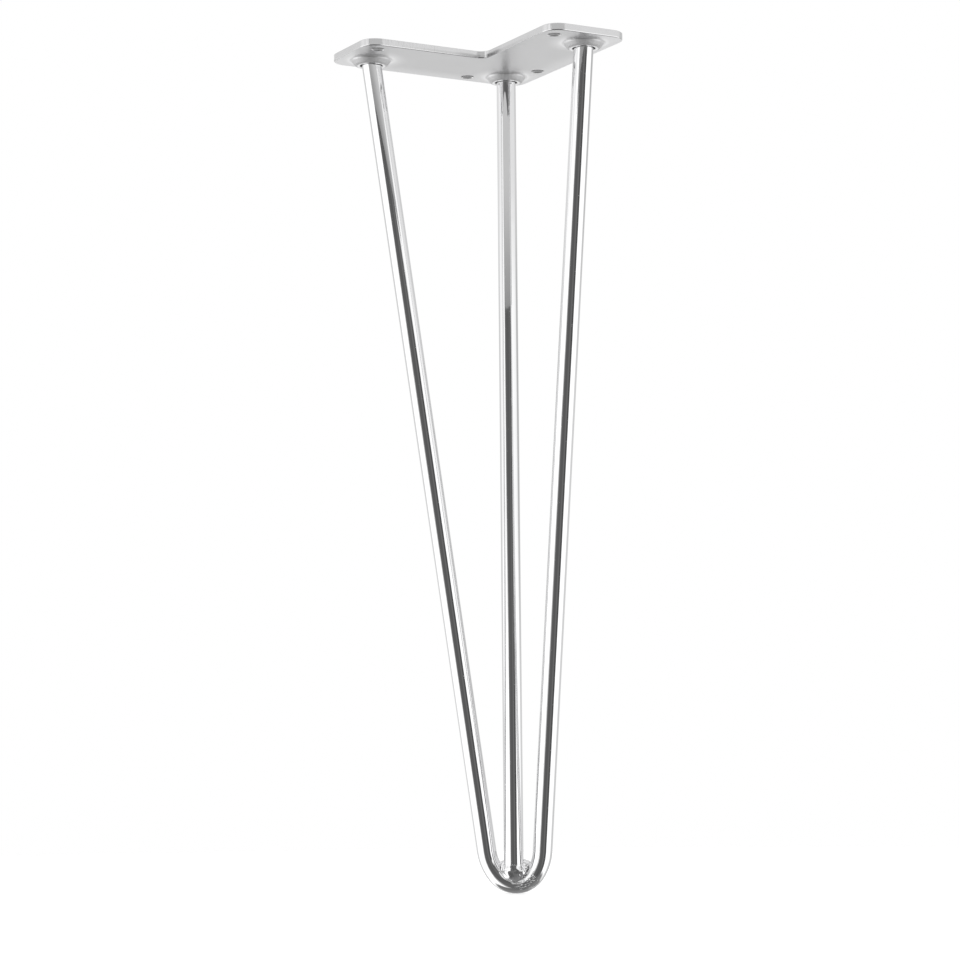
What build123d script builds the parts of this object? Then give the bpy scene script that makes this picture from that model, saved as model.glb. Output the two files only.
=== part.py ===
from build123d import *
import math
import os

# Three-rod hairpin table leg: an L-shaped mounting plate, one rod bent to a narrow U, and a straight
# rod from the plate's corner to the inside of the bend. Sizes are in mm and +Z is up.
#
# The origin is on the plate's upper face, at the middle of the box round the three rod holes. The leg
# is symmetric about X = 0. The plate's outer corner points to +Y, and its arms run to -X -Y and +X -Y.

# Whole leg
leg_height = 406.0  # plate's upper face to the lowest point of the bend
rod_diameter = 9.5

# Mounting plate, an L with two equal arms
plate_thickness = 3.5
arm_length = 106.0  # along the outer edge, from the plate's corner to the arm's tip
arm_width = 42.5
corner_radius = 8.0  # outer corner and arm tips
inner_corner_radius = 4.5
plate_edge_radius = 0.5  # lower rim
plate_edge_bevel = 0.3  # upper rim, which lies against the table

# Rod holes, one at the corner and one in each arm
rod_to_edge = 15.5  # hole centre to the outer edge of the arm
rod_to_tip = 15.5  # arm rod's hole centre to the arm's tip
rod_hole_clearance = 0.75  # radial gap that shows as a dark ring round each rod

# Dimples that are pressed down round the rod holes
dimple_depth = 3.0
dimple_base_radius = 10.0  # where the flank leaves the plate's underside
dimple_land = 2.1  # ring between the flank and the hole
dimple_root_radius = 1.2
dimple_shoulder_radius = 2.0  # between the flank and the land
hole_bevel = 0.3  # rims of the rod holes and recesses

# Screw holes, two by the corner rod and one at each tip
screw_hole_diameter = 6.0
screw_hole_bevel = 0.4
corner_screw_from_corner = 33.0  # along one arm, from the plate's outer corner
corner_screw_to_edge = 7.5  # from that arm's outer edge
tip_screw_to_tip = 9.0
tip_screw_to_edge = 7.0  # from the arm's inner edge

# Rods
rod_end_depth = 0.8  # rod ends below the plate's upper face
foot_offset = 4.0  # lowest point of the bend, further out than the corner rod
bend_radius = 12.0  # centre line, at the bottom of the bend
bend_half_angle = 52.0  # each side of the lowest point
flank_radius = 22.0  # centre line, between the bottom arc and the straight runs
corner_rod_stop = 2.4  # height of the corner rod's end over the top of the bend's inside

# Weld rings in the dimples, as depths under the plate's upper face
weld_root_depth = 3.4
weld_rim_depth = 1.2
weld_crown_depth = 0.5

# Foot weld, in two beads of oval sections: (height over the inside of the bend, half width, half depth)
foot_nose_sections = [
    (5.8, 4.5, 4.5),
    (4.8, 5.0, 5.0),
    (2.4, 5.7, 5.6),
    (0.2, 5.8, 5.1),
    (-1.8, 5.0, 4.4),
    (-3.2, 3.6, 3.4),
    (-4.2, 2.0, 2.6),
]
foot_nose_lean = 0.2  # shift towards the bend for each mm down
foot_web_sections = [
    (7.4, 4.6, 2.4),
    (6.7, 6.4, 3.2),
    (5.6, 8.0, 3.8),
    (3.4, 8.6, 4.2),
    (0.8, 7.4, 4.3),
    (-1.4, 5.0, 3.8),
]
foot_web_back = 2.6  # middle of the web, further out than the corner rod

lookup_tolerance = 0.01  # for finding an edge by its height and radius

# Values worked out from the sizes above
rod_radius = rod_diameter / 2
rod_hole_radius = rod_radius + rod_hole_clearance
rod_spacing = arm_length - rod_to_edge - rod_to_tip
corner_rod_y = rod_spacing / (2 * math.sqrt(2))
arm_rod_x = rod_spacing / math.sqrt(2)
arm_rod_y = corner_rod_y - rod_spacing / math.sqrt(2)
plate_near = -rod_to_edge  # the plate's edges in its own plane
plate_far = arm_length - rod_to_edge
plate_inner = arm_width - rod_to_edge

dimple_land_radius = rod_hole_radius + dimple_land
dimple_slope = math.atan2(dimple_depth, dimple_base_radius - dimple_land_radius)
wall_shift = plate_thickness * math.tan(dimple_slope / 2)
recess_top_radius = dimple_base_radius - wall_shift
recess_bottom_radius = dimple_land_radius - wall_shift
recess_floor_radius = max(recess_bottom_radius, rod_hole_radius)
recess_floor_depth = (recess_top_radius - recess_floor_radius) * math.tan(dimple_slope)
hole_middle_depth = (plate_thickness + 2 * dimple_depth) / 2

# The plate's own plane: x runs along the left arm, y along the right one, from the corner rod
plate_plane = Plane(origin=(0, corner_rod_y, 0), x_dir=(-1, -1, 0), z_dir=(0, 0, 1))
rod_places = {"corner": (0, 0), "left": (rod_spacing, 0), "right": (0, rod_spacing)}
corner_screw = (plate_near + corner_screw_from_corner, plate_near + corner_screw_to_edge)
tip_screw = (plate_far - tip_screw_to_tip, plate_inner - tip_screw_to_edge)
screw_places = [corner_screw, corner_screw[::-1], tip_screw, tip_screw[::-1]]

# The bend's own plane holds all of the bent rod's centre line: x is across, y goes up the leg
foot_centre = Vector(0, corner_rod_y + foot_offset, rod_radius - leg_height)
arm_rods_middle = Vector(0, arm_rod_y, -hole_middle_depth)
bend_rise = (arm_rods_middle - foot_centre).length
bend_up = (arm_rods_middle - foot_centre).normalized()
bend_plane = Plane(origin=foot_centre, x_dir=(1, 0, 0), z_dir=Vector(1, 0, 0).cross(bend_up))
bend_crown_z = foot_centre.Z + rod_radius / bend_up.Z


def circles_at(shape, z, radius):
    """Circular edges of a given radius at a given height."""
    low, high = z - lookup_tolerance, z + lookup_tolerance
    rings = shape.edges().filter_by(GeomType.CIRCLE).filter_by_position(Axis.Z, low, high)
    return [ring for ring in rings if abs(ring.radius - radius) < lookup_tolerance and ring.is_closed]


def plate_outline():
    """The L, with rounded corners."""
    near, far, inner = plate_near, plate_far, plate_inner
    corners = [(near, near), (far, near), (far, inner), (inner, inner), (inner, far), (near, far)]
    outline = make_face(Polyline(*corners, close=True))
    concave = outline.vertices().sort_by_distance((inner, inner, 0))[:1]
    outline = fillet(concave, inner_corner_radius)
    convex = [v for v in outline.vertices() if (v.X, v.Y) in corners]
    return fillet(convex, corner_radius)


def mounting_plate():
    """Pressed plate, with a dimple round each rod and plain screw holes."""
    plate = extrude(plate_outline(), -plate_thickness)
    plate = fillet(plate.faces().sort_by(Axis.Z)[0].edges(), plate_edge_radius)
    plate = chamfer(plate.faces().sort_by(Axis.Z)[-1].edges(), plate_edge_bevel)

    dimple = Cone(
        dimple_land_radius, dimple_base_radius, dimple_depth, align=(Align.CENTER, Align.CENTER, Align.MAX)
    )
    recess = Cone(
        recess_bottom_radius, recess_top_radius, dimple_depth, align=(Align.CENTER, Align.CENTER, Align.MAX)
    )
    full_depth = plate_thickness + dimple_depth
    rod_hole = Cylinder(rod_hole_radius, full_depth, align=(Align.CENTER, Align.CENTER, Align.MAX))
    screw_hole = Cylinder(
        screw_hole_diameter / 2, plate_thickness, align=(Align.CENTER, Align.CENTER, Align.MAX)
    )
    for x, y in rod_places.values():
        plate += Pos(x, y, -plate_thickness) * dimple
    for x, y in rod_places.values():
        plate -= Pos(x, y, 0) * recess
        plate -= Pos(x, y, 0) * rod_hole
    for x, y in screw_places:
        plate -= Pos(x, y, 0) * screw_hole

    plate = fillet(circles_at(plate, -plate_thickness, dimple_base_radius), dimple_root_radius)
    plate = fillet(circles_at(plate, -full_depth, dimple_land_radius), dimple_shoulder_radius)
    rod_rims = circles_at(plate, 0, recess_top_radius) + circles_at(plate, -full_depth, rod_hole_radius)
    plate = chamfer(rod_rims, hole_bevel)
    screw_rims = circles_at(plate, 0, screw_hole_diameter / 2)
    screw_rims += circles_at(plate, -plate_thickness, screw_hole_diameter / 2)
    plate = chamfer(screw_rims, screw_hole_bevel)
    return plate_plane * plate


def bent_rod_path():
    """Centre line of the U: a bottom arc, two wider flank arcs and two straight runs."""
    half_angle = math.radians(bend_half_angle)
    flank_x = (bend_radius - flank_radius) * math.sin(half_angle)
    flank_y = bend_radius - (bend_radius - flank_radius) * math.cos(half_angle)
    reach = arm_rod_x - flank_x
    rise = bend_rise - flank_y
    lean = math.atan2(reach, rise) - math.asin(flank_radius / math.hypot(reach, rise))
    flank_sweep = 90 - math.degrees(lean) - bend_half_angle

    bottom = CenterArc((0, bend_radius), bend_radius, -90 - bend_half_angle, 2 * bend_half_angle)
    right_flank = CenterArc((flank_x, flank_y), flank_radius, -90 + bend_half_angle, flank_sweep)
    left_flank = CenterArc(
        (-flank_x, flank_y), flank_radius, -90 - bend_half_angle - flank_sweep, flank_sweep
    )
    past_plate = rod_diameter + hole_middle_depth
    run = (bend_rise - (right_flank @ 1).Y + past_plate) / math.cos(lean)
    to_right = Vector(math.sin(lean), math.cos(lean)) * run
    to_left = Vector(-to_right.X, to_right.Y)
    left_run = Line(left_flank @ 0 + to_left, left_flank @ 0)
    right_run = Line(right_flank @ 1, right_flank @ 1 + to_right)
    return bend_plane * Wire([left_run, left_flank, bottom, right_flank, right_run])


def bent_rod():
    """Round bar bent to a U, its ends cut level inside the plate's recesses."""
    path = bent_rod_path()
    section = Plane(origin=path @ 0, z_dir=path % 0) * Circle(rod_radius)
    return split(sweep(section, path=path), Plane((0, 0, -rod_end_depth)), keep=Keep.BOTTOM)


def corner_rod():
    """Straight upright bar that stops just over the inside of the bend."""
    end_z = bend_crown_z + corner_rod_stop
    length = -rod_end_depth - end_z
    bar = Cylinder(rod_radius, length, align=(Align.CENTER, Align.CENTER, Align.MIN))
    return Pos(0, corner_rod_y, end_z) * bar


def plate_weld(place, rod):
    """Weld ring that fills the recess between a rod's end and the plate, just under the upper face."""
    crown = (rod_radius, -weld_crown_depth)
    rim = (recess_top_radius - weld_rim_depth / math.tan(dimple_slope), -weld_rim_depth)
    sides = Polyline(
        crown,
        (0, -weld_crown_depth),
        (0, -weld_root_depth),
        (rod_hole_radius, -weld_root_depth),
        (rod_hole_radius, -recess_floor_depth),
        (recess_floor_radius, -recess_floor_depth),
        rim,
    )
    top = TangentArc(crown, rim, tangent=(1, 0))
    ring = revolve(Plane.XZ * make_face([sides, top]), Axis.Z)
    x, y = rod_places[place]
    return plate_plane * (Pos(x, y, 0) * ring) - rod


def bead(sections, middle_y, lean=0.0):
    """Loft of level oval sections, from the top down."""
    top = sections[0][0]
    ovals = [
        Pos(0, middle_y + lean * (top - height), bend_crown_z + height) * Ellipse(half_width, half_depth)
        for height, half_width, half_depth in sections
    ]
    return loft(ovals)


def foot_weld(straight, bend):
    """Nose of weld from the corner rod's end down to the bend, and a web on both sides of it."""
    nose = bead(foot_nose_sections, corner_rod_y, foot_nose_lean)
    web = bead(foot_web_sections, corner_rod_y + foot_web_back)
    return nose + web - straight - bend


os.makedirs("parts", exist_ok=True)
bend = bent_rod()
straight = corner_rod()
nodes = {
    "mounting_plate": mounting_plate(),
    "bent_rod": bend,
    "corner_rod": straight,
    "left_plate_weld": plate_weld("left", bend),
    "right_plate_weld": plate_weld("right", bend),
    "corner_plate_weld": plate_weld("corner", straight),
    "foot_weld": foot_weld(straight, bend),
}
for name, shape in nodes.items():
    export_step(shape, f"parts/{name}.step")
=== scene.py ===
import math

import bmesh
import bpy
from mathutils import Matrix, Vector, noise
from mathutils.bvhtree import BVHTree


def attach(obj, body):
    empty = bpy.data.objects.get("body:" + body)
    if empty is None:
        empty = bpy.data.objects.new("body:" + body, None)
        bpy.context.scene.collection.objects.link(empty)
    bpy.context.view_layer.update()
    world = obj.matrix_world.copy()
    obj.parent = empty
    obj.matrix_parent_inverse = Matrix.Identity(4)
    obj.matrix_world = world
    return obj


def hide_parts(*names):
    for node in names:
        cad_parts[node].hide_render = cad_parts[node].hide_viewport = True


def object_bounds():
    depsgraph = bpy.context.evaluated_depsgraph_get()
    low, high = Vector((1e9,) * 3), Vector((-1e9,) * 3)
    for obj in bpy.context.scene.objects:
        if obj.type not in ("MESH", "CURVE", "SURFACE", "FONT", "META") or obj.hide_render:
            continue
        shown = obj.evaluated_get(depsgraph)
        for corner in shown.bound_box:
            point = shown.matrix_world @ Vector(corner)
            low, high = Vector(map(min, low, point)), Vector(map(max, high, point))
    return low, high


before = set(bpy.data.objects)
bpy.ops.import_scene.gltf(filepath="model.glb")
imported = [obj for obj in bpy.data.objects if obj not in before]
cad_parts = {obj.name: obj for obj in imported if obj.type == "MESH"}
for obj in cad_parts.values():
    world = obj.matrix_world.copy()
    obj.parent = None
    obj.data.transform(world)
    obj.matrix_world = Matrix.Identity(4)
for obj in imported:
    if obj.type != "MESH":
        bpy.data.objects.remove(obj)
cad_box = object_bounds()

# Lengths are in metres and angles in degrees, unless a comment says otherwise.

# Camera. It stands low in front of the leg and looks slightly up.
CAMERA_PLACE = (0.36335, -1.28965, -0.34483)
CAMERA_HEADING = 16.05
CAMERA_PITCH = 5.858
CAMERA_ROLL = 0.505
CAMERA_LENS = 105.0  # in mm
CAMERA_SENSOR = 36.0  # in mm

# Floor and lamp
FLOOR_REACH = 0.9  # half the floor's width
FLOOR_FADE = (0.30, 0.85)
FLOOR_ALBEDO = 0.9
FLOOR_GLOW = 0.42  # for the camera alone
LAMP_HEIGHT = 1.6
LAMP_SIZE = 1.5
LAMP_WATTS = 6.0

# The studio, as grey levels round the object. An angle of 0 faces -Y and +90 faces +X.
# The front is a dark opening, the two sides are white walls and the back is a pale wall.
FLOOR_LEVELS = [
    (-180, 0.26), (-90, 0.21), (-25, 0.15), (15, 0.15), (45, 0.18), (90, 0.23), (180, 0.26),
]
LOW_WALL_LEVELS = [
    (-180, 0.62), (-164, 0.66), (-150, 0.62), (-142, 0.60), (-135, 0.70), (-115, 1.25), (-33, 1.25),
    (-24, 0.13), (-10, 0.12), (8, 0.10), (22, 0.075), (36, 0.12), (48, 0.07), (56, 0.08), (64, 1.25),
    (120, 1.2), (132, 0.75), (150, 0.62), (166, 0.58), (180, 0.62),
]
# Under eye level the middle of the back wall is brightest, and it lights the plate's underside.
BACK_LEVELS = [
    (-180, 0.82), (-164, 0.92), (-150, 0.80), (-142, 0.55), (-132, 0.60), (-112, 0.80), (-100, 1.10),
    (-90, 1.25), (-32, 1.25), (-22, 0.14), (-8, 0.12), (10, 0.10), (20, 0.11), (30, 0.16), (40, 0.10),
    (48, 0.055), (55, 0.07), (62, 1.25), (114, 1.2), (126, 0.74), (142, 0.60), (166, 0.52),
    (174, 0.75), (180, 0.82),
]
WALL_LEVELS = [
    (-180, 0.80), (-142, 0.73), (-112, 0.68), (-100, 0.85), (-92, 1.25), (-26, 1.25), (-17, 0.14),
    (-6, 0.12), (10, 0.10), (20, 0.11), (29, 0.165), (38, 0.11), (46, 0.055), (53, 0.07), (60, 1.25),
    (114, 1.2), (124, 0.76), (142, 0.66), (158, 0.64), (180, 0.80),
]
UPPER_LEVELS = [
    (-180, 0.76), (-164, 0.84), (-142, 0.64), (-128, 0.61), (-112, 0.69), (-98, 0.86), (-82, 1.12),
    (-68, 0.90), (-52, 0.92), (-42, 1.15), (-34, 1.15), (-25, 0.14), (-12, 0.11), (6, 0.10), (18, 0.11),
    (27, 0.15), (35, 0.08), (41, 0.08), (49, 1.10), (98, 1.02), (112, 0.96), (128, 0.49), (142, 0.44),
    (158, 0.64), (180, 0.76),
]
HIGH_LEVELS = [
    (-180, 0.70), (-142, 0.83), (-112, 0.74), (-98, 0.78), (-82, 0.90), (-68, 0.93), (-52, 0.76),
    (-38, 1.00), (-28, 0.80), (-20, 0.13), (0, 0.11), (30, 0.15), (44, 0.10), (52, 0.40), (60, 0.80),
    (68, 0.80), (112, 0.80), (128, 0.73), (142, 0.61), (180, 0.70),
]
CEILING_LEVELS = [(-180, 0.74), (-75, 0.74), (-45, 1.10), (60, 1.10), (90, 0.74), (180, 0.74)]
# The sets above the floor's, each with the elevations over which it takes over from the one before
STUDIO = [
    ((-50, -41), LOW_WALL_LEVELS),
    ((-40, -26), BACK_LEVELS),
    ((-9, -3), WALL_LEVELS),
    ((1, 6), UPPER_LEVELS),
    ((9, 12.5), HIGH_LEVELS),
    ((23, 34), CEILING_LEVELS),
]

# A pale panel that stands close in front, over the dark opening, and shows only in the metal
PANEL_RADIUS = 0.47
PANEL_SIDES = (-24, 61)
PANEL_HEIGHTS = (-0.039, 0.32)
PANEL_STEPS = 24
PANEL_FADE = (-0.060, 0.060)
PANEL_LEVELS = (0.29, 0.58)

# Places on the leg that the surface marks follow. A hole stands for its mirror image in x = 0 too.
CORNER_ROD_Y = 0.026517
ROD_HOLES = [(0.0, CORNER_ROD_Y), (0.053033, -0.026517)]
ROD_RADIUS = 0.00475
SCREW_HOLES = [(0.018031, 0.019799), (0.043487, -0.045255)]
NOTCH_Y = -0.0117  # where the arms' inner edges would meet
ARM_SLANT = 0.7071  # cosine of the angle between an arm and x
SPATTER_CENTRE = (0.0055, 0.0260, -0.3995)

# The bent rod's centre line, in its own plane from its lowest point: an arc at the bottom, a wider
# arc on each flank and two straight legs
BEND_FOOT = (0.0, 0.030517, -0.40125)
BEND_UP = (0.0, -0.14238, 0.98982)
BEND_OUT = (0.0, 0.98982, 0.14238)
BOTTOM_RADIUS = 0.012
FLANK_CENTRE = (-0.00788, 0.018157)
FLANK_RADIUS = 0.022
FLANK_TANGENT = 0.7813  # slope of the line between the bottom arc and a flank
LEG_TANGENT = 0.10146  # how far a leg leans for each unit up

# Textures: a cell's size along the three axes, the levels of finer detail and their strength.
# On a rod the axes are across, out of the bend's plane and along.
ROD_LINES = ((0.00035, 0.00035, 0.030), 2.0, 0.6)
ROD_WAVES = ((0.004, 0.004, 0.010), 1.0, 0.5)
ROD_GRAIN = ((0.0006, 0.0006, 0.0009), 2.0, 0.6)
ROD_CLOUD = ((0.004, 0.004, 0.025), 2.0, 0.5)
SPATTER = ((0.0007, 0.0007, 0.0008), 1.0, 0.5)
SAW_MARKS = ((0.0030, 0.00025, 0.001), 2.0, 0.6)
PLATE_GRAIN = ((0.0005, 0.0005, 0.0005), 3.0, 0.6)
PLATE_CLOUD = ((0.009, 0.009, 0.009), 3.0, 0.55)
PLATE_WAVES = ((0.012, 0.012, 0.012), 1.0, 0.5)
EDGE_SHEAR = ((0.0011, 0.0011, 0.006), 2.0, 0.6)
# The noise that breaks the painted shade by the notch into streaks
NOTCH_SHADE_STREAKS = ((0.008, 0.008, 0.0007), 2.0, 0.6)
WELD_RIPPLE = ((0.0014, 0.0014, 0.0010), 2.0, 0.5)
WELD_GRAIN = ((0.00035, 0.00035, 0.00035), 2.0, 0.6)
LEG_SHIFT = 40.0  # change of texture for each metre to the side, so that the two legs differ

# How high the textures stand. A height under 0 is sunk.
ROD_LINE_HEIGHT = 0.000003
ROD_WAVE_HEIGHT = 0.000024
ROD_PIT_HEIGHT = -0.000012
SPATTER_HEIGHT = 0.00016
SAW_MARK_HEIGHT = 0.00002
PLATE_GRAIN_HEIGHT = 0.000006
PLATE_WAVE_HEIGHT = 0.00006
EDGE_SHEAR_HEIGHT = 0.00008
WELD_RIPPLE_HEIGHT = 0.000018
WELD_PORE_HEIGHT = -0.00002

# Texture values over which marks set in
ROD_PITS = (0.66, 0.74)
SPATTER_DROPS = (0.52, 0.64)
# For the painted shade by the notch
NOTCH_SHADE_STREAK_DEPTH = (0.20, 0.50)
WELD_PORES = (0.62, 0.75)

# Where surfaces begin and end, as smooth steps: from, to, and the values before and after
SPATTER_REACH = (0.0045, 0.0075, 1.0, 0.0)  # from SPATTER_CENTRE
ROD_END = (-0.0012, -0.0009, 0.0, 1.0)  # height
DIMPLE = (0.0105, 0.0130, 1.0, 0.0)  # from a rod's axis, as the next two are
DIMPLE_FLANK_IN = (0.0066, 0.0072, 0.0, 1.0)
DIMPLE_FLANK_OUT = (0.0090, 0.0098, 1.0, 0.0)
DIMPLE_ROOT = 0.0102  # radius of the ring where a dimple leaves the plate
DIMPLE_ROOT_REACH = (0.0002, 0.0005, 1.0, 0.0)  # to each side of that ring
SCREW_HOLE = (0.0030, 0.0032, 1.0, 0.0)  # from a screw hole's axis
# Painted shade inside the screw holes, darker higher up in them
SCREW_HOLE_PAINTED_SHADE = (-0.0032, -0.0021, 0.85, 0.55)  # height
EDGE = (0.85, 0.985, 1.0, 0.0)  # the normal's upright part
UNDERSIDE = (-0.9, -0.5, 1.0, 0.0)  # the normal's part along z
# Where painted shade darkens the underside of the arms
ARM_FROM_ROD = (0.009, 0.019, 0.0, 1.0)  # from a rod's axis
ARM_TO_RIM = (0.002, 0.014, 1.0, 0.4)  # outside the line of rod holes
ARM_TO_TIP = (0.048, 0.060, 1.0, 0.2)  # to the side
# Where painted shade darkens the edges by the notch, the inner corner of the arms
NOTCH_IN = (0.0022, 0.0032, 0.0, 1.0)  # from the notch, as the next one is
NOTCH_OUT = (0.010, 0.018, 1.0, 0.0)
NOTCH_SIDE = (-0.002, 0.001, 0.40, 1.0)  # x
NOTCH_LOW = (-0.0024, -0.0012, 1.0, 0.15)  # height
# A duller torn strip low on the edges, which also carries a painted dark reflection of the rounded lower
# rim
TORN_STRIP_AND_REFLECTION_LOW = (-0.0024, -0.0016, 1.0, 0.0)  # height
TORN_STRIP_AND_REFLECTION_REACH = (0.020, 0.050, 1.0, 0.0)  # from the notch

# Grey levels and roughness. Of a pair, the first is how much a texture adds to the second.
CHROME_BLUE = 1.006  # blue over red and green
ROD_LEVEL = (0.05, 0.895)
ROD_ROUGHNESS = (0.05, 0.012)
ROD_PIT_ROUGHNESS = 0.08
ROD_END_ROUGHNESS = 0.25
PLATE_LEVEL = (0.07, 0.90)
PLATE_ROUGHNESS = (0.10, 0.31)
PLATE_GRAIN_ROUGHNESS = 0.08
DIMPLE_ROUGHNESS = 0.25
# Painted shade on the dimples' flanks
DIMPLE_FLANK_PAINTED_SHADE = 0.88
DIMPLE_FLANK_ROUGHNESS = 0.60
# Painted highlight on the ring where a dimple leaves the plate
DIMPLE_ROOT_PAINTED_HIGHLIGHT = 1.03
DIMPLE_ROOT_ROUGHNESS = 0.38
# Painted shade on the underside along the inner part of each arm
ARM_PAINTED_SHADE_LEVEL = 0.80
EDGE_LEVEL = 0.87
EDGE_ROUGHNESS = (0.10, 0.10)
# Level of the torn strip: duller metal, darkened further as a painted dark reflection
TORN_STRIP_AND_REFLECTION_LEVEL = 0.76
# Painted shade by the notch
NOTCH_PAINTED_SHADE_LEVEL = 0.34
SCREW_HOLE_ROUGHNESS = 0.42
WELD_LEVEL = (0.06, 0.88)
WELD_ROUGHNESS = (0.08, 0.03)

# Skin of the weld bead and the weld rings. It stays put near the pieces that it meets.
BEAD_CELL = 0.00018
RING_CELL = 0.00026
MERGE_REACH = 1e-6
SEAM = (0.0001, 0.0009)
# Ripples of the skin: height, size and place in the noise
BEAD_RIPPLES = [(0.00026, 0.0026, (3.1, 0.4, 7.7)), (0.00004, 0.0010, (1.9, 5.2, 0.3))]
RING_RIPPLES = [(0.00012, 0.0025, (0.0, 0.0, 0.0)), (0.00005, 0.0009, (0.0, 0.0, 0.0))]
# Raised and sunk places of the bead: from, to, radius and height
BEAD_LUMPS = [
    ((0.0062, 0.0253, -0.3958), (0.0062, 0.0253, -0.3958), 0.0042, 0.00085),
    ((0.0012, 0.0217, -0.3941), (0.0042, 0.0240, -0.3916), 0.0010, 0.00035),
    ((0.0030, 0.0223, -0.3938), (0.0024, 0.0222, -0.3946), 0.0014, -0.00030),
    ((-0.0051, 0.0248, -0.3948), (-0.0038, 0.0240, -0.3972), 0.0012, -0.00035),
    ((-0.0034, 0.0226, -0.3925), (-0.0011, 0.0235, -0.3975), 0.0022, 0.00050),
]
# The bead's nose, the part in front of the corner rod
NOSE_SPREAD = 0.5  # cosine of the angle that it takes up to each side
NOSE_TOP = (-0.3962, -0.3914)  # heights over which it thins out
NOSE_THINNING = 1.05  # a little over 1 ends it inside the rod
NOSE_FOOT = (-0.3987, -0.3967)  # heights under which it is drawn into the bend
NOSE_FOOT_RISE = 0.2
NOSE_FOOT_SINK = 0.0032


def grey(level):
    """A grey colour."""
    return (level, level, level, 1.0)


def new_material(name):
    """A material with no nodes yet, and the tools that fill it."""
    material = bpy.data.materials.new(name)
    material.use_nodes = True
    material.node_tree.nodes.clear()
    return material, Nodes(material.node_tree)


class Nodes:
    """Short ways to add and link shader nodes in one tree."""

    def __init__(self, tree):
        self.tree = tree

    def add(self, kind, inputs=None, **settings):
        """A node with its settings, and with each input linked or set."""
        node = self.tree.nodes.new("ShaderNode" + kind)
        for key, value in settings.items():
            setattr(node, key, value)
        for key, value in (inputs or {}).items():
            if isinstance(value, bpy.types.NodeSocket):
                self.tree.links.new(value, node.inputs[key])
            else:
                node.inputs[key].default_value = value
        return node

    def math(self, operation, *values):
        """The result of a math node."""
        return self.add("Math", dict(enumerate(values)), operation=operation).outputs[0]

    def times(self, *values):
        """The product of some numbers."""
        product = values[0]
        for value in values[1:]:
            product = self.math("MULTIPLY", product, value)
        return product

    def minus(self, value, amount):
        """A number less an amount."""
        return self.math("SUBTRACT", value, amount)

    def line(self, value, slope, start):
        """A number times a slope, plus a start."""
        return self.math("MULTIPLY_ADD", value, slope, start)

    def size(self, value):
        """A number without its sign."""
        return self.math("ABSOLUTE", value)

    def fade(self, value, low, high, to_low=0.0, to_high=1.0):
        """A smooth step between two values."""
        inputs = {"Value": value, "From Min": low, "From Max": high, "To Min": to_low, "To Max": to_high}
        return self.add("MapRange", inputs, interpolation_type="SMOOTHSTEP").outputs[0]

    def mix(self, factor, first, second):
        """A mix of two numbers."""
        return self.add("Mix", {0: factor, 2: first, 3: second}, data_type="FLOAT").outputs[0]

    def mix_colours(self, factor, first, second):
        """A mix of two colours."""
        return self.add("Mix", {0: factor, 6: first, 7: second}, data_type="RGBA").outputs[2]

    def place(self):
        """A point's place on the object."""
        return self.add("TexCoord").outputs["Object"]

    def vector(self, x, y, z):
        """A vector from three numbers."""
        return self.add("CombineXYZ", {0: x, 1: y, 2: z}).outputs[0]

    def parts(self, vector):
        """A vector's three numbers."""
        return self.add("SeparateXYZ", {0: vector}).outputs

    def from_point(self, vector, point):
        """The way to a vector's end from a fixed point."""
        return self.add("VectorMath", {0: vector, 1: point}, operation="SUBTRACT").outputs[0]

    def dot(self, vector, axis):
        """How far a vector reaches along a fixed axis."""
        return self.add("VectorMath", {0: vector, 1: axis}, operation="DOT_PRODUCT").outputs["Value"]

    def reach(self, vector):
        """A vector's length."""
        return self.add("VectorMath", {0: vector}, operation="LENGTH").outputs["Value"]

    def flat_reach(self, x, y):
        """The length of a vector that lies flat."""
        return self.reach(self.vector(x, y, 0.0))

    def texture(self, place, cell, detail, roughness, shift=0.0):
        """Noise from 0 to 1, in cells of a given size."""
        scale = tuple(1 / length for length in cell)
        scaled = self.add("Mapping", {"Vector": place, "Scale": scale}).outputs[0]
        inputs = {"Vector": scaled, "W": shift, "Scale": 1.0, "Detail": detail, "Roughness": roughness}
        return self.add("TexNoise", inputs, noise_dimensions="4D").outputs["Fac"]

    def bump(self, texture, height, normal=None):
        """A normal bent by a texture that stands as high as the height."""
        inputs = {"Height": texture, "Distance": height, "Strength": 1.0}
        if normal is not None:
            inputs["Normal"] = normal
        return self.add("Bump", inputs).outputs[0]

    def ramp(self, value, stops):
        """A ramp of grey levels. Each stop is a place from 0 to 1 and a level."""
        node = self.add("ValToRGB", {"Fac": value})
        elements = node.color_ramp.elements
        while len(elements) < len(stops):
            elements.new(0.5)
        for element, (place, level) in zip(elements, stops):
            element.position = place
            element.color = grey(level)
        return node.outputs["Color"]

    def metal(self, level, roughness, normal):
        """Bright metal with a grey level of its own."""
        blue = self.times(level, CHROME_BLUE)
        colour = self.add("CombineColor", {0: level, 1: level, 2: blue}).outputs[0]
        inputs = {"Base Color": colour, "Metallic": 1.0, "Roughness": roughness, "Normal": normal}
        self.output("Material", self.add("BsdfPrincipled", inputs).outputs[0])

    def output(self, kind, surface):
        """Links a shader to the tree's output."""
        self.add("Output" + kind, {"Surface": surface})


def make_camera():
    """The camera at the photograph's viewing angle."""
    data = bpy.data.cameras.new("camera")
    data.sensor_width = CAMERA_SENSOR
    data.lens = CAMERA_LENS
    camera = bpy.data.objects.new("camera", data)
    turn = (
        Matrix.Rotation(math.radians(CAMERA_HEADING), 4, "Z")
        @ Matrix.Rotation(math.radians(90 + CAMERA_PITCH), 4, "X")
        @ Matrix.Rotation(math.radians(-CAMERA_ROLL), 4, "Z")
    )
    camera.matrix_world = Matrix.Translation(CAMERA_PLACE) @ turn
    bpy.context.scene.collection.objects.link(camera)
    bpy.context.scene.camera = camera


def levels_around(nodes, around, table):
    """Grey levels round the object. The direction runs from 0 to 1, and its middle faces -Y."""
    return nodes.ramp(around, [(0.5 + angle / 360, level) for angle, level in table])


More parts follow.
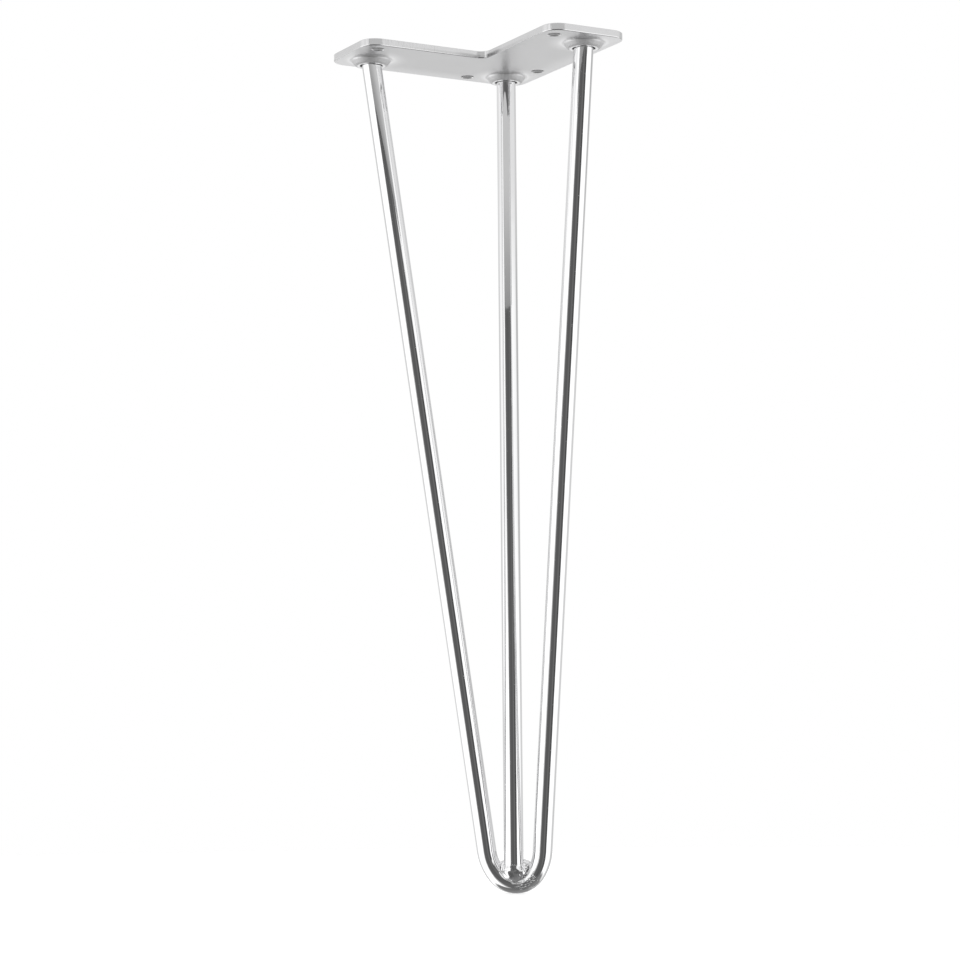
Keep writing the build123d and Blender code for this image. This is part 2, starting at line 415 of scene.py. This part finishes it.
def make_studio():
    """World light: grey levels by direction, and plain white where the camera looks past the object."""
    world = bpy.data.worlds.new("studio")
    world.use_nodes = True
    world.node_tree.nodes.clear()
    nodes = Nodes(world.node_tree)
    x, y, z = nodes.parts(nodes.add("TexCoord").outputs["Generated"])
    turn = nodes.math("ARCTAN2", x, nodes.times(y, -1.0))
    around = nodes.line(turn, 0.5 / math.pi, 0.5)
    elevation = nodes.times(nodes.math("ARCSINE", z), 180 / math.pi)

    light = levels_around(nodes, around, FLOOR_LEVELS)
    for elevations, table in STUDIO:
        above = nodes.fade(elevation, *elevations)
        light = nodes.mix_colours(above, light, levels_around(nodes, around, table))

    seen = nodes.add("LightPath").outputs["Is Camera Ray"]
    colour = nodes.mix_colours(seen, light, grey(1.0))
    background = nodes.add("Background", {"Color": colour, "Strength": 1.0})
    nodes.output("World", background.outputs[0])
    bpy.context.scene.world = world


def stage_mesh(name, points, faces, material):
    """A mesh that belongs to the studio."""
    mesh = bpy.data.meshes.new(name)
    mesh.from_pydata(points, [], faces)
    mesh.materials.append(material)
    stage = bpy.data.objects.new(name, mesh)
    bpy.context.scene.collection.objects.link(stage)
    return stage


def make_floor():
    """A plain pale floor that keeps the leg's shadow and fades into the white further out."""
    material, nodes = new_material("pale_floor")
    diffuse = nodes.add("BsdfDiffuse", {"Color": grey(FLOOR_ALBEDO)})
    seen = nodes.add("LightPath").outputs["Is Camera Ray"]
    glow = nodes.add("Emission", {"Strength": nodes.times(seen, FLOOR_GLOW)})
    pale = nodes.add("AddShader", {0: diffuse.outputs[0], 1: glow.outputs[0]})
    clear = nodes.add("BsdfTransparent")
    x, y = nodes.parts(nodes.place())[:2]
    far = nodes.fade(nodes.flat_reach(x, y), *FLOOR_FADE)
    soft = nodes.add("MixShader", {0: far, 1: pale.outputs[0], 2: clear.outputs[0]})
    nodes.output("Material", soft.outputs[0])

    height = cad_box[0][2]
    corners = [(-1, -1), (1, -1), (1, 1), (-1, 1)]
    points = [(x * FLOOR_REACH, y * FLOOR_REACH, height) for x, y in corners]
    floor = stage_mesh("floor", points, [(0, 1, 2, 3)], material)
    floor.visible_glossy = False


def make_panel():
    """The pale panel over the dark opening. It is seen only as a reflection."""
    material, nodes = new_material("pale_panel")
    height = nodes.parts(nodes.place())[2]
    strength = nodes.fade(height, *PANEL_FADE, *PANEL_LEVELS)
    nodes.output("Material", nodes.add("Emission", {"Strength": strength}).outputs[0])

    points, faces = [], []
    for step in range(PANEL_STEPS + 1):
        share = step / PANEL_STEPS
        angle = math.radians(PANEL_SIDES[0] + share * (PANEL_SIDES[1] - PANEL_SIDES[0]))
        for z in PANEL_HEIGHTS:
            points.append((PANEL_RADIUS * math.sin(angle), -PANEL_RADIUS * math.cos(angle), z))
    for step in range(PANEL_STEPS):
        faces.append((2 * step, 2 * step + 2, 2 * step + 3, 2 * step + 1))
    panel = stage_mesh("panel", points, faces, material)
    panel.visible_camera = False
    panel.visible_diffuse = False
    panel.visible_transmission = False
    panel.visible_shadow = False


def make_lamp():
    """One large soft lamp overhead."""
    data = bpy.data.lights.new("soft_lamp", "AREA")
    data.size = LAMP_SIZE
    data.energy = LAMP_WATTS
    lamp = bpy.data.objects.new("soft_lamp", data)
    lamp.location = (0, 0, LAMP_HEIGHT)
    lamp.visible_glossy = False
    lamp.visible_camera = False
    bpy.context.scene.collection.objects.link(lamp)


def straight_bar(nodes):
    """Places on the corner rod, as across, out and along, and the shift of its textures."""
    x, y, z = nodes.parts(nodes.place())
    return nodes.vector(x, nodes.minus(y, CORNER_ROD_Y), z), 0.0


def bent_bar(nodes):
    """The same for the bent rod, unrolled along its centre line."""
    place = nodes.from_point(nodes.place(), BEND_FOOT)
    side = nodes.dot(place, (1.0, 0.0, 0.0))
    across = nodes.size(side)
    up = nodes.dot(place, BEND_UP)
    out = nodes.dot(place, BEND_OUT)

    bottom_y = nodes.minus(up, BOTTOM_RADIUS)
    bottom = nodes.minus(nodes.flat_reach(across, bottom_y), BOTTOM_RADIUS)
    flank_x, flank_y = nodes.minus(across, FLANK_CENTRE[0]), nodes.minus(up, FLANK_CENTRE[1])
    flank = nodes.minus(nodes.flat_reach(flank_x, flank_y), FLANK_RADIUS)
    tilt = math.atan(LEG_TANGENT)
    leg = nodes.line(flank_y, -math.sin(tilt), nodes.times(flank_x, math.cos(tilt)))
    leg = nodes.minus(leg, FLANK_RADIUS)

    on_flank = nodes.math("GREATER_THAN", nodes.line(across, FLANK_TANGENT, bottom_y), 0.0)
    on_leg = nodes.math("GREATER_THAN", nodes.line(flank_x, LEG_TANGENT, flank_y), 0.0)
    centred = nodes.mix(on_leg, nodes.mix(on_flank, bottom, flank), leg)
    return nodes.vector(centred, out, up), nodes.times(side, LEG_SHIFT)


def chromed_rod(name, bar, spattered):
    """Mirror chrome on drawn round bar, with fine draw lines, a slight waviness and a few pits."""
    material, nodes = new_material(name)
    place, shift = bar(nodes)
    lines = nodes.texture(place, *ROD_LINES, shift)
    waves = nodes.texture(place, *ROD_WAVES, shift)
    cloud = nodes.texture(place, *ROD_CLOUD, shift)
    pits = nodes.fade(nodes.texture(place, *ROD_GRAIN, shift), *ROD_PITS)
    normal = nodes.bump(waves, ROD_WAVE_HEIGHT)
    normal = nodes.bump(lines, ROD_LINE_HEIGHT, normal)
    normal = nodes.bump(pits, ROD_PIT_HEIGHT, normal)
    if spattered:
        drops = nodes.fade(nodes.texture(place, *SPATTER, shift), *SPATTER_DROPS)
        from_centre = nodes.reach(nodes.from_point(nodes.place(), SPATTER_CENTRE))
        near_bead = nodes.fade(from_centre, *SPATTER_REACH)
        normal = nodes.bump(nodes.times(drops, near_bead), SPATTER_HEIGHT, normal)

    on_end = nodes.fade(nodes.parts(nodes.place())[2], *ROD_END)
    sawn = nodes.times(nodes.texture(nodes.place(), *SAW_MARKS), on_end)
    normal = nodes.bump(sawn, SAW_MARK_HEIGHT, normal)
    roughness = nodes.line(pits, ROD_PIT_ROUGHNESS, nodes.line(lines, *ROD_ROUGHNESS))
    roughness = nodes.line(on_end, ROD_END_ROUGHNESS, roughness)
    nodes.metal(nodes.line(cloud, *ROD_LEVEL), roughness, normal)
    return material


def from_holes(nodes, side, y, holes):
    """The distance to the nearest of some hole axes."""
    nearest = None
    for hole_x, hole_y in holes:
        reach = nodes.flat_reach(nodes.minus(side, hole_x), nodes.minus(y, hole_y))
        nearest = reach if nearest is None else nodes.math("MINIMUM", nearest, reach)
    return nearest


def painted_arm_shade(nodes, side, y, facing, from_rod):
    """Where painted shade darkens the underside: along the inner part of each arm, away from the rods."""
    from_line = nodes.times(nodes.math("ADD", side, nodes.minus(y, CORNER_ROD_Y)), ARM_SLANT)
    return nodes.times(
        nodes.fade(from_rod, *ARM_FROM_ROD),
        nodes.fade(from_line, *ARM_TO_RIM),
        nodes.fade(side, *ARM_TO_TIP),
        nodes.fade(facing, *UNDERSIDE),
    )


def edge_level(nodes, place, x, y, z):
    """Grey level of the sheared edges, with a duller torn strip that also carries a painted dark
    reflection, and painted shade in streaks by the notch.
    """
    from_notch = nodes.flat_reach(x, nodes.minus(y, NOTCH_Y))
    # Painted shade by the notch, broken into streaks, lowest on the edge and stronger to the right
    marks = nodes.times(
        nodes.fade(from_notch, *NOTCH_IN),
        nodes.fade(from_notch, *NOTCH_OUT),
        nodes.fade(nodes.texture(place, *NOTCH_SHADE_STREAKS), *NOTCH_SHADE_STREAK_DEPTH),
        nodes.fade(x, *NOTCH_SIDE),
        nodes.fade(z, *NOTCH_LOW),
    )
    # A duller torn strip low on the edges near the notch, darkened further as a painted dark reflection
    # of the rounded lower rim
    torn = nodes.times(nodes.fade(z, *TORN_STRIP_AND_REFLECTION_LOW), nodes.fade(from_notch, *TORN_STRIP_AND_REFLECTION_REACH))
    return nodes.mix(marks, nodes.mix(torn, EDGE_LEVEL, TORN_STRIP_AND_REFLECTION_LEVEL), NOTCH_PAINTED_SHADE_LEVEL)


def chromed_plate():
    """Satin chrome on rolled sheet, with smoother sheared edges, pressed dimples and dull screw holes,
    and with painted shade, a painted highlight and a painted dark reflection in its grey level.
    """
    material, nodes = new_material("chromed_plate")
    place = nodes.place()
    x, y, z = nodes.parts(place)
    side = nodes.size(x)
    facing = nodes.dot(nodes.add("NewGeometry").outputs["Normal"], (0.0, 0.0, 1.0))
    from_rod = from_holes(nodes, side, y, ROD_HOLES)
    dimple = nodes.fade(from_rod, *DIMPLE)
    flank = nodes.times(nodes.fade(from_rod, *DIMPLE_FLANK_IN), nodes.fade(from_rod, *DIMPLE_FLANK_OUT))
    root = nodes.fade(nodes.size(nodes.minus(from_rod, DIMPLE_ROOT)), *DIMPLE_ROOT_REACH)
    in_hole = nodes.fade(from_holes(nodes, side, y, SCREW_HOLES), *SCREW_HOLE)
    edge = nodes.times(nodes.fade(nodes.size(facing), *EDGE), nodes.mix(dimple, 1.0, 0.0))

    grain = nodes.texture(place, *PLATE_GRAIN)
    cloud = nodes.texture(place, *PLATE_CLOUD)
    shear = nodes.texture(place, *EDGE_SHEAR)
    normal = nodes.bump(nodes.texture(place, *PLATE_WAVES), PLATE_WAVE_HEIGHT)
    normal = nodes.bump(grain, PLATE_GRAIN_HEIGHT, normal)
    normal = nodes.bump(nodes.times(shear, edge), EDGE_SHEAR_HEIGHT, normal)

    roughness = nodes.mix(dimple, nodes.line(cloud, *PLATE_ROUGHNESS), DIMPLE_ROUGHNESS)
    roughness = nodes.mix(flank, roughness, DIMPLE_FLANK_ROUGHNESS)
    roughness = nodes.mix(root, roughness, DIMPLE_ROOT_ROUGHNESS)
    roughness = nodes.line(grain, PLATE_GRAIN_ROUGHNESS, roughness)
    roughness = nodes.mix(edge, roughness, nodes.line(shear, *EDGE_ROUGHNESS))
    roughness = nodes.mix(in_hole, roughness, SCREW_HOLE_ROUGHNESS)

    level = nodes.times(
        # painted shade along the arms' underside
        nodes.mix(painted_arm_shade(nodes, side, y, facing, from_rod), 1.0, ARM_PAINTED_SHADE_LEVEL),
        # painted shade on the dimples' flanks
        nodes.mix(flank, 1.0, DIMPLE_FLANK_PAINTED_SHADE),
        # painted highlight on the dimples' roots
        nodes.mix(root, 1.0, DIMPLE_ROOT_PAINTED_HIGHLIGHT),
    )
    level = nodes.mix(edge, level, edge_level(nodes, place, x, y, z))
    # painted shade inside the screw holes
    level = nodes.mix(in_hole, level, nodes.fade(z, *SCREW_HOLE_PAINTED_SHADE))
    nodes.metal(nodes.times(nodes.line(cloud, *PLATE_LEVEL), level), roughness, normal)
    return material


def chromed_weld():
    """Chrome over a weld bead, with small pores and a soft ripple."""
    material, nodes = new_material("chromed_weld")
    ripple = nodes.texture(nodes.place(), *WELD_RIPPLE)
    grain = nodes.texture(nodes.place(), *WELD_GRAIN)
    normal = nodes.bump(ripple, WELD_RIPPLE_HEIGHT)
    normal = nodes.bump(nodes.fade(grain, *WELD_PORES), WELD_PORE_HEIGHT, normal)
    nodes.metal(nodes.line(ripple, *WELD_LEVEL), nodes.line(grain, *WELD_ROUGHNESS), normal)
    return material


def dress(piece, material):
    """Gives a piece its material."""
    piece.data.materials.clear()
    piece.data.materials.append(material)


def tree_of(node):
    """A search tree of a CAD node's surface."""
    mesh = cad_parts[node].data
    points = [vertex.co.copy() for vertex in mesh.vertices]
    return BVHTree.FromPolygons(points, [tuple(face.vertices) for face in mesh.polygons])


def skinned(node, cell):
    """A copy of a CAD node with an even, fine skin."""
    mesh = bmesh.new()
    mesh.from_mesh(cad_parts[node].data)
    bmesh.ops.remove_doubles(mesh, verts=mesh.verts, dist=MERGE_REACH)
    merged = bpy.data.meshes.new(node + "_merged")
    mesh.to_mesh(merged)
    mesh.free()
    piece = bpy.data.objects.new(node + "_skin", merged)
    bpy.context.scene.collection.objects.link(piece)
    remesh = piece.modifiers.new("skin", "REMESH")
    remesh.mode = "VOXEL"
    remesh.voxel_size = cell
    remesh.use_smooth_shade = True
    graph = bpy.context.evaluated_depsgraph_get()
    skin = bpy.data.meshes.new_from_object(piece.evaluated_get(graph))
    piece.modifiers.clear()
    piece.data = skin
    return piece


def smooth_step(value, low, high):
    """0 under the low value, 1 over the high one and a smooth rise between."""
    share = min(1.0, max(0.0, (value - low) / (high - low)))
    return share * share * (3 - 2 * share)


def lumpy_weld(node, material, cell, neighbours, lift):
    """A weld with a lumpy skin in the place of its CAD node."""
    piece = skinned(node, cell)
    trees = [tree_of(name) for name in neighbours]
    normals = [vertex.normal.copy() for vertex in piece.data.vertices]
    for vertex, normal in zip(piece.data.vertices, normals):
        gap = min(tree.find_nearest(vertex.co)[3] for tree in trees)
        vertex.co += normal * (lift(vertex.co) * smooth_step(gap, *SEAM))
    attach(piece, "root")
    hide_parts(node)
    dress(piece, material)
    return piece


def ripples(point, table):
    """Height of a skin's ripples at a point."""
    return sum(height * noise.noise(point / size + Vector(shift)) for height, size, shift in table)


def ring_lift(point):
    """Height of the skin of the rings round the rod ends."""
    return ripples(point, RING_RIPPLES)


def bead_lift(point):
    """Height of the skin of the foot's bead."""
    total = ripples(point, BEAD_RIPPLES)
    for start, end, radius, height in BEAD_LUMPS:
        along = Vector(end) - Vector(start)
        share = 0.0
        if along.length > 0:
            share = min(1.0, max(0.0, (point - Vector(start)).dot(along) / along.length_squared))
        reach = (point - Vector(start) - along * share).length / radius
        if reach < 1:
            total += height * (1 - reach * reach) ** 2
    return total


def settle_nose(piece):
    """Runs the bead's nose out softly on the corner rod above, and ends it on the bend below."""
    axis = Vector((0.0, CORNER_ROD_Y))
    for vertex in piece.data.vertices:
        out = Vector(vertex.co[:2]) - axis
        if out.length < ROD_RADIUS or out.y > -NOSE_SPREAD * out.length:
            continue
        keep = 1 - NOSE_THINNING * smooth_step(vertex.co.z, *NOSE_TOP)
        out *= (ROD_RADIUS + (out.length - ROD_RADIUS) * keep) / out.length
        vertex.co.x, vertex.co.y = axis + out
        above_foot = smooth_step(vertex.co.z - NOSE_FOOT_RISE * vertex.co.x, *NOSE_FOOT)
        vertex.co.y += NOSE_FOOT_SINK * (1 - above_foot)


make_camera()
make_studio()
make_floor()
make_panel()
make_lamp()
dress(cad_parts["mounting_plate"], chromed_plate())
dress(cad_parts["bent_rod"], chromed_rod("chromed_bent_rod", bent_bar, True))
dress(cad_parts["corner_rod"], chromed_rod("chromed_corner_rod", straight_bar, False))
weld = chromed_weld()
settle_nose(lumpy_weld("foot_weld", weld, BEAD_CELL, ("bent_rod", "corner_rod"), bead_lift))
lumpy_weld("left_plate_weld", weld, RING_CELL, ("bent_rod", "mounting_plate"), ring_lift)
lumpy_weld("right_plate_weld", weld, RING_CELL, ("bent_rod", "mounting_plate"), ring_lift)
lumpy_weld("corner_plate_weld", weld, RING_CELL, ("corner_rod", "mounting_plate"), ring_lift)

bpy.context.scene.view_settings.view_transform = "Standard"
